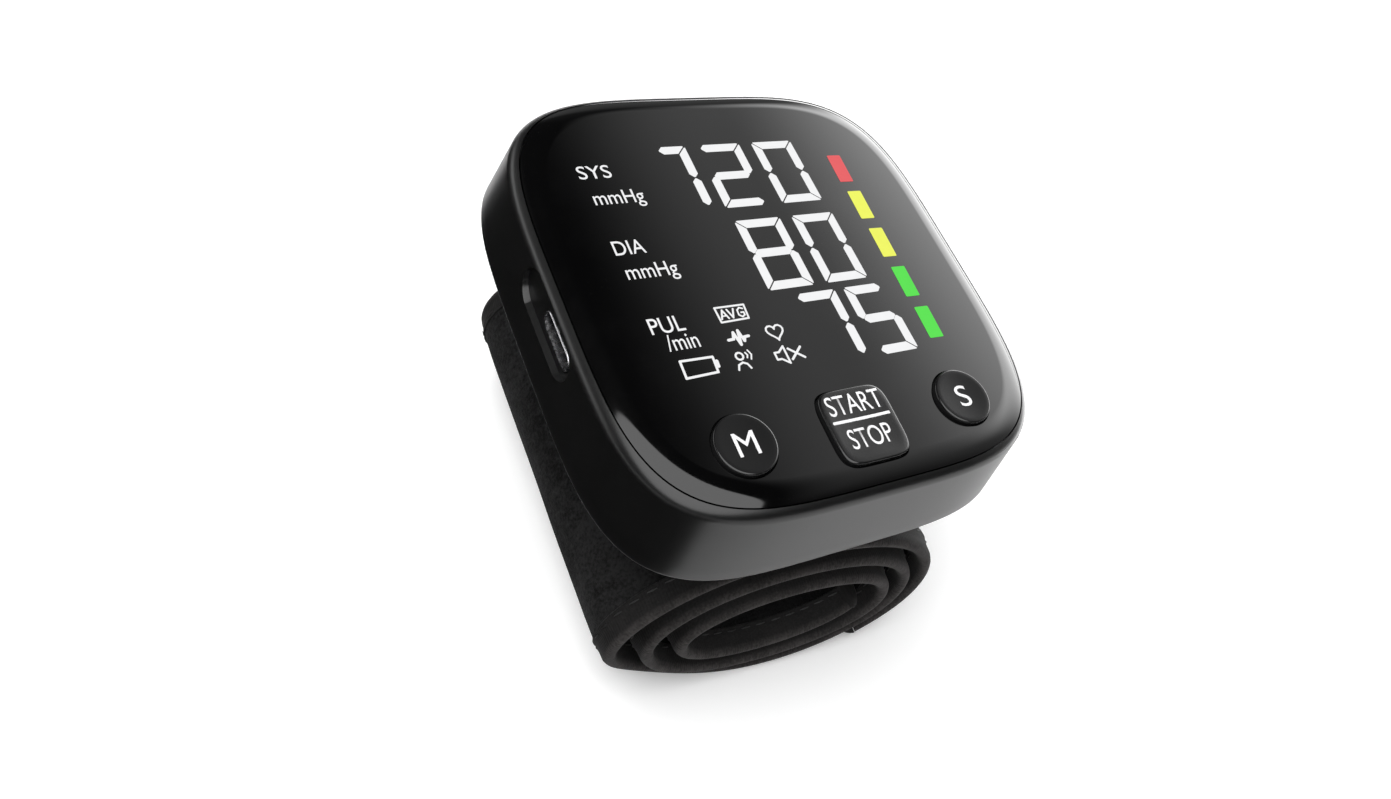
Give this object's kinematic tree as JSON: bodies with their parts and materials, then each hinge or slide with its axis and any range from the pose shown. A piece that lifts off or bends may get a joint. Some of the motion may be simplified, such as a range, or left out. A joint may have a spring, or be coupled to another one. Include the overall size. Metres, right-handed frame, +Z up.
{
  "type": "wrist blood pressure monitor",
  "caption": "Rounded square wrist blood pressure monitor with a gloss display lens and front buttons, standing on its rolled fabric cuff.",
  "frame": {"origin": "on the floor under the middle of the part's box, with the monitor standing on its rolled cuff", "axes": "+Z up and out of the display, +X to the right across the display, +Y up the display and along the wrist"},
  "size_m": [0.071, 0.0806, 0.0539],
  "materials": {
    "lens": "gloss black",
    "housing": "satin dark grey",
    "button": "satin black",
    "component_black": "moulded black",
    "inner_plastic": "natural moulded",
    "circuit_board": "green solder mask",
    "diffuser": "frosted translucent",
    "seal": "matte foam",
    "silicone": "matte silicone",
    "battery": "shrink film",
    "socket_steel": "rolled steel",
    "screw": "zinc plated",
    "cuff_fabric": "charcoal brushed fabric",
    "binding": "grey woven tape",
    "hook_patch": "black hook tape"
  },
  "bodies": {
    "monitor": {"front_lens": "lens", "lens_gasket": "seal", "main_housing": "housing", "memory_switch": "component_black", "start_stop_switch": "component_black", "set_switch": "component_black", "main_circuit_board": "circuit_board", "display_module": "inner_plastic", "display_diffuser": "diffuser", "microcontroller": "component_black", "battery_connector": "inner_plastic", "usb_c_receptacle": "socket_steel", "usb_c_contact_block": "component_black", "battery_foam_tape": "seal", "battery_pack": "battery", "speaker": "component_black", "pump_motor": "socket_steel", "pump_head": "inner_plastic", "air_manifold": "silicone", "valve_body": "inner_plastic", "pressure_sensor": "component_black", "cuff_outer_sleeve": "cuff_fabric", "cuff_inner_sleeve": "cuff_fabric", "cuff_curler": "diffuser", "air_bladder": "silicone", "cuff_near_binding": "binding", "cuff_far_binding": "binding", "cuff_root_hem": "binding", "cuff_tip_hem": "binding", "cuff_hook_patch": "hook_patch", "cuff_saddle_plate": "inner_plastic", "air_nozzle": "silicone", "rear_cover": "housing", "rear_cover_screw_1": "screw", "rear_cover_screw_2": "screw", "rear_cover_screw_3": "screw", "rear_cover_screw_4": "screw"},
    "memory_key": {"memory_button": "button", "memory_switch_plunger": "inner_plastic"},
    "start_stop_key": {"start_stop_button": "button", "start_stop_switch_plunger": "inner_plastic"},
    "set_key": {"set_button": "button", "set_switch_plunger": "inner_plastic"},
    "pump_crank": {"pump_rotor": "socket_steel"},
    "release_valve": {"valve_plunger": "socket_steel"}
  },
  "joints": [
    {"name": "memory_press", "type": "slide", "parent": "monitor", "child": "memory_key", "axis": [0, 0, -1], "range_m": [0, 0.00035], "stiffness_N_per_m": 600},
    {"name": "start_stop_press", "type": "slide", "parent": "monitor", "child": "start_stop_key", "axis": [0, 0, -1], "range_m": [0, 0.00035], "stiffness_N_per_m": 600},
    {"name": "set_press", "type": "slide", "parent": "monitor", "child": "set_key", "axis": [0, 0, -1], "range_m": [0, 0.00035], "stiffness_N_per_m": 600},
    {"name": "pump_spin", "type": "hinge", "parent": "monitor", "child": "pump_crank", "pos_m": [-0.0139, -0.01343, 0.04273], "axis": [1, 0, 0], "continuous": true},
    {"name": "valve_stroke", "type": "slide", "parent": "monitor", "child": "release_valve", "axis": [-1, 0, 0], "range_m": [0, 0.0006], "stiffness_N_per_m": 200}
  ]
}
